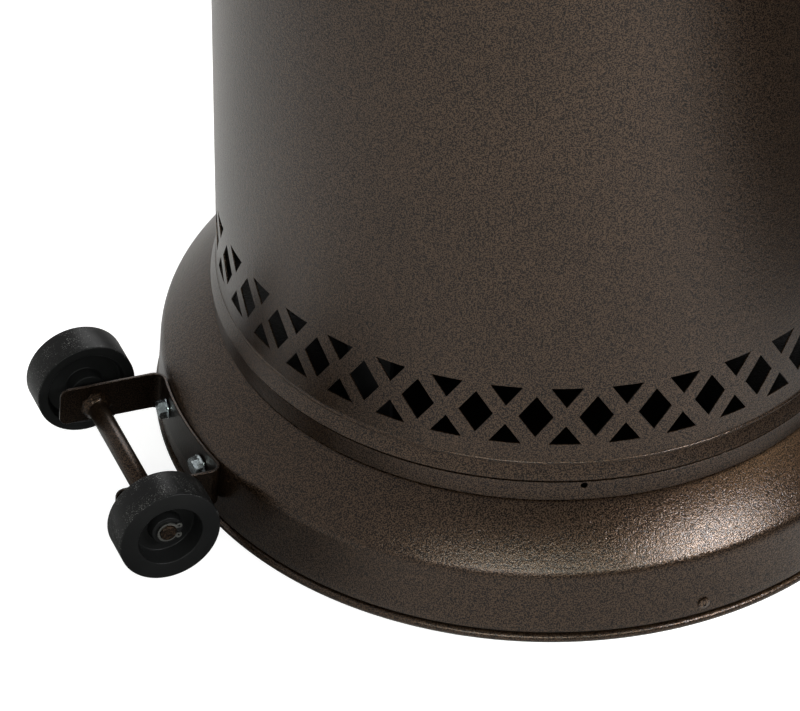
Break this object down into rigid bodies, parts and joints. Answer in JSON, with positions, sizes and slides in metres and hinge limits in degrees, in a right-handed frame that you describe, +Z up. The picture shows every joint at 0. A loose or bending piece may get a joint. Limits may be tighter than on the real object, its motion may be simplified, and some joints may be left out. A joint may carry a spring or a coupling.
{
  "type": "outdoor heater",
  "caption": "Free-standing outdoor gas heater with a round wheeled base, a vented tank housing that lifts on the post, and a burner under a shallow round reflector.",
  "frame": {"origin": "on the floor at the centre of the round base, on the post's axis", "axes": "+Z up along the post, the wheels towards -X with their axle along Y, the control knob facing -Y"},
  "size_m": [0.813, 0.8129, 2.21],
  "materials": {
    "hammered_bronze": "hammered powder coat, semi gloss",
    "leg_black": "satin powder coat",
    "zinc": "zinc plated",
    "stainless": "satin",
    "reflector_aluminium": "bright mill finish",
    "brass": "machined",
    "pilot_aluminium": "drawn tube",
    "wheel_plastic": "fine moulded texture",
    "knob_plastic": "satin moulded",
    "button_plastic": "moulded",
    "lead_silicone": "silicone sleeve",
    "electrode_ceramic": "glazed ceramic",
    "switch_plastic": "moulded",
    "hose_rubber": "smooth",
    "regulator_paint": "cast, painted"
  },
  "bodies": {
    "stand": {"base_pan": "hammered_bronze", "base_shell": "hammered_bronze", "base_screws": "hammered_bronze", "support_leg_1": "leg_black", "support_leg_2": "leg_black", "support_leg_3": "leg_black", "foot_bolts": "zinc", "post_bolts": "zinc", "leg_nuts": "zinc", "post": "hammered_bronze", "wheel_bracket": "hammered_bronze", "wheel_axle": "hammered_bronze", "bracket_bolts": "zinc", "bracket_nuts": "zinc", "axle_circlips": "zinc", "head_cone": "hammered_bronze", "head_screws": "hammered_bronze", "control_box": "hammered_bronze", "control_panel": "hammered_bronze", "panel_screws": "zinc", "valve_shelf": "stainless", "box_screws": "hammered_bronze", "gas_valve": "brass", "igniter_body": "knob_plastic", "ignition_lead": "lead_silicone", "electrode": "electrode_ceramic", "tilt_switch": "switch_plastic", "thermocouple": "brass", "pilot_tube": "pilot_aluminium", "pilot_burner": "stainless", "burner_jet": "brass", "venturi_tube": "stainless", "burner_head": "stainless", "burner_pan": "stainless", "emitter_screen": "stainless", "emitter_top": "stainless", "reflector_studs": "zinc", "reflector_nuts": "zinc", "reflector_panel_1": "reflector_aluminium", "reflector_panel_2": "reflector_aluminium", "reflector_panel_3": "reflector_aluminium", "reflector_cap": "reflector_aluminium", "reflector_bolts": "zinc", "gas_hose": "hose_rubber", "hose_bushing": "knob_plastic", "hose_fittings": "brass", "regulator": "regulator_paint"},
    "housing": {"tank_housing": "hammered_bronze", "housing_band": "hammered_bronze", "housing_cover": "hammered_bronze", "cover_screws": "hammered_bronze", "post_grommet": "hose_rubber"},
    "left_wheel": {"wheel_left": "wheel_plastic"},
    "right_wheel": {"wheel_right": "wheel_plastic"},
    "plunger": {"valve_plunger": "brass"},
    "knob": {"valve_stem": "zinc", "control_knob": "knob_plastic"},
    "button": {"igniter_button": "button_plastic"},
    "coupling": {"regulator_nut": "knob_plastic"}
  },
  "joints": [
    {"name": "left_wheel_spin", "type": "hinge", "parent": "stand", "child": "left_wheel", "pos_m": [-0.2656, 0, 0.0331], "axis": [0, 1, 0], "continuous": true},
    {"name": "right_wheel_spin", "type": "hinge", "parent": "stand", "child": "right_wheel", "pos_m": [-0.2656, 0, 0.0331], "axis": [0, 1, 0], "continuous": true},
    {"name": "housing_lift", "type": "slide", "parent": "stand", "child": "housing", "axis": [0, 0, 1], "range_m": [0, 0.52]},
    {"name": "knob_push", "type": "slide", "parent": "stand", "child": "plunger", "axis": [0, 1, 0], "range_m": [0, 0.004], "stiffness_N_per_m": 600},
    {"name": "knob_turn", "type": "hinge", "parent": "plunger", "child": "knob", "pos_m": [-0.008, -0.076, 1.742], "axis": [0, -1, 0], "range_deg": [0, 180]},
    {"name": "igniter_press", "type": "slide", "parent": "stand", "child": "button", "axis": [0, 1, 0], "range_m": [0, 0.005], "stiffness_N_per_m": 700},
    {"name": "coupling_spin", "type": "hinge", "parent": "stand", "child": "coupling", "pos_m": [0, 0, 0.47], "axis": [0, 0, 1], "continuous": true}
  ]
}
